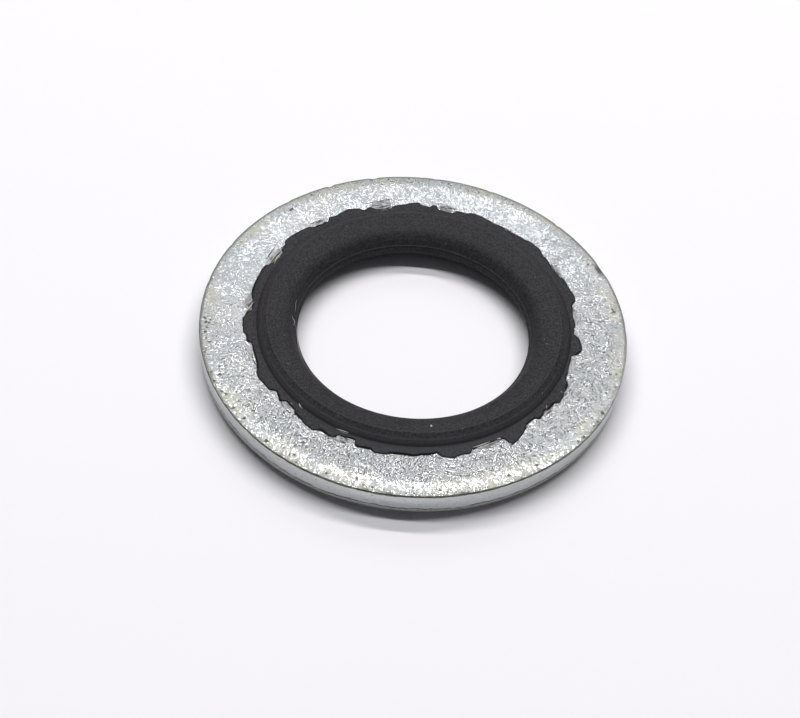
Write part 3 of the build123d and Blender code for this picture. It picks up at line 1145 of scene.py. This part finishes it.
def torn_fibre(threads):
    """Shreds of rubber and its pale bonding coat: dark or pale from thread to thread."""
    material, nodes, shader = new_material("torn_fibre")
    place = nodes.add("ShaderNodeTexCoord", output=3)
    mottle = nodes.noise(place, 0.10 * MM, detail=3.0, roughness=0.6)
    shade = nodes.smooth(nodes.attribute("shade") + 0.5 * (mottle - 0.5), 0.0, 1.0)
    colour = nodes.blend(shade, tuple(threads.dark_colour), tuple(threads.pale_colour))
    bump = nodes.bump(mottle, 0.008 * MM, strength=0.6)
    feed(
        nodes, shader, Base_Color=colour, Metallic=0.0, Roughness=0.45 + 0.2 * mottle,
        Normal=bump, Specular_IOR_Level=0.35)
    return material


class ThreadSettings(PropertyGroup):
    """Number, thickness and colours of the torn threads"""
    top: length_setting("Top", "Height of the steel's upper face", RING_HIGH.z)
    per_smear: count_setting(
        "Threads a smear", "About how many threads lie in each smear", 10)
    points: count_setting("Points", "Points along each thread", 9)
    sides: count_setting("Sides", "Flat sides round each thread", 7)
    thickness: FloatProperty(
        name="Thickness", description="Multiplies the threads' own thicknesses", default=1.0)
    dark_colour: colour_setting(
        "Dark thread", "Colour of the shreds of rubber", 0.045, 0.043, 0.046)
    pale_colour: colour_setting(
        "Pale thread", "Colour of the shreds of bonding coat", 0.56, 0.55, 0.53)
    seed: count_setting("Seed", "Picks where the threads lie", 5)


class WASHER_OT_torn_threads(Operator):
    """Makes the shreds that the trimmed film left on the steel"""
    bl_idname = "washer.torn_threads"
    bl_label = "Torn threads"

    def execute(self, context):
        threads = context.scene.washer_threads
        piece = thread_lines("torn_threads", threads)
        bake_tree(
            piece, thread_tree(torn_fibre(threads)),
            {"Thickness": threads.thickness, "Sides": threads.sides})
        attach(piece, "root")
        return {"FINISHED"}


# ---------------------------------------------------------------- stage

# Lamps, all aimed at the washer: name, place, width and height in metres, power in watts, colour.
LAMPS = (
    ("overhead_lamp", (0, 0.040, 0.4482), (0.56, 0.035), 1.20, (0.99, 0.995, 1.0)),
    ("rear_lamp", (0, 0.2231, 0.4475), (0.56, 0.035), 1.38, (1.0, 0.99, 0.96)),
    ("back_panel", (-0.02, 0.458, 0.386), (0.44, 0.13), 0.33, (0.97, 0.99, 1.0)),
    ("left_panel", (-0.078, 0.399, 0.441), (0.11, 0.040), 0.0085, (0.97, 0.99, 1.0)),
    ("back_wall", (0, 0.635, 0.487), (1.3, 0.65), 0.54, (0.97, 0.98, 1.0)),
)


class StageSettings(PropertyGroup):
    """The camera, the floor and the room's light"""
    camera_place: place_setting(
        "Camera place", "Where the camera stands", 0.0, -80.13 * MM, 90.62 * MM)
    camera_aim: place_setting(
        "Camera aim", "The point in the middle of the view", -0.67 * MM, -1.11 * MM, 0.0)
    camera_roll: angle_setting(
        "Camera roll", "Turn of the camera about its line of sight", 5.35 * DEGREE)
    lens: FloatProperty(
        name="Lens", description="Focal length in millimetres on a 36 mm wide sensor", default=85.1)
    floor_size: length_setting("Floor size", "Length of the square floor's sides", 3.0)
    floor_colour: colour_setting("Floor", "Colour of the floor", 0.90, 0.885, 0.93)
    room_light: FloatProperty(
        name="Room light", description="Strength of the light from all round", default=0.09)


def facing(place, aim):
    """The turn that points a lamp or a camera from its place at its aim."""
    return (Vector(aim) - Vector(place)).to_track_quat("-Z", "Y")


def make_floor(stage):
    """A square floor round the washer, at height 0."""
    half = stage.floor_size / 2
    corners = [(-half, -half, 0), (half, -half, 0), (half, half, 0), (-half, half, 0)]
    mesh = bpy.data.meshes.new("floor")
    mesh.from_pydata(corners, [], [(0, 1, 2, 3)])
    mesh.materials.append(table_top(stage))
    return new_object("floor", mesh)


def make_lamp(name, place, size, power, colour):
    """A rectangular lamp that faces the washer."""
    light = bpy.data.lights.new(name, "AREA")
    light.shape = "RECTANGLE"
    light.size, light.size_y = size
    light.energy = power
    light.color = colour
    lamp = new_object(name, light)
    lamp.location = place
    lamp.rotation_euler = facing(place, (0, 0, 0)).to_euler()


def make_room(stage):
    """Even white light from all round."""
    world = bpy.data.worlds.new("room")
    world.use_nodes = True
    background = world.node_tree.nodes["Background"]
    background.inputs["Color"].default_value = (1, 1, 1, 1)
    background.inputs["Strength"].default_value = stage.room_light
    return world


def make_camera(stage):
    """The camera at its place, aimed and rolled."""
    camera = bpy.data.cameras.new("camera")
    camera.lens = stage.lens
    camera.sensor_width = 36  # millimetres, as the lens is for
    camera.clip_start = 5 * MM
    eye = new_object("camera", camera)
    roll = Quaternion((0, 0, 1), stage.camera_roll)
    eye.location = stage.camera_place
    eye.rotation_mode = "QUATERNION"
    eye.rotation_quaternion = facing(stage.camera_place, stage.camera_aim) @ roll
    return eye


class WASHER_OT_stage(Operator):
    """Makes the floor, the lamps, the room's light and the camera"""
    bl_idname = "washer.stage"
    bl_label = "Stage"

    def execute(self, context):
        scene = context.scene
        stage = scene.washer_stage
        floor = make_floor(stage)
        for lamp in LAMPS:
            make_lamp(*lamp)
        scene.world = make_room(stage)
        scene.camera = make_camera(stage)
        scene.view_settings.view_transform = "Standard"
        return {"FINISHED"}


# ---------------------------------------------------------------- add-on

class WASHER_PT_panel(Panel):
    """Lists the washer's pieces in the 3D view's sidebar"""
    bl_idname = "WASHER_PT_panel"
    bl_label = "Bonded sealing washer"
    bl_space_type = "VIEW_3D"
    bl_region_type = "UI"
    bl_category = "Washer"

    def draw(self, context):
        for operator in OPERATORS:
            self.layout.operator(operator.bl_idname)


OPERATORS = (
    WASHER_OT_stage,
    WASHER_OT_plated_ring,
    WASHER_OT_moulded_seal,
    WASHER_OT_torn_threads,
)
CLASSES = (RingSettings, SealSettings, ThreadSettings, StageSettings, *OPERATORS, WASHER_PT_panel)


def register():
    for cls in CLASSES:
        bpy.utils.register_class(cls)
    bpy.types.Scene.washer_ring = PointerProperty(type=RingSettings)
    bpy.types.Scene.washer_seal = PointerProperty(type=SealSettings)
    bpy.types.Scene.washer_threads = PointerProperty(type=ThreadSettings)
    bpy.types.Scene.washer_stage = PointerProperty(type=StageSettings)


def unregister():
    del bpy.types.Scene.washer_ring
    del bpy.types.Scene.washer_seal
    del bpy.types.Scene.washer_threads
    del bpy.types.Scene.washer_stage
    for cls in reversed(CLASSES):
        bpy.utils.unregister_class(cls)


def main():
    register()
    bpy.ops.washer.stage()
    bpy.ops.washer.plated_ring()
    bpy.ops.washer.moulded_seal()
    bpy.ops.washer.torn_threads()


if __name__ == "__main__":
    main()
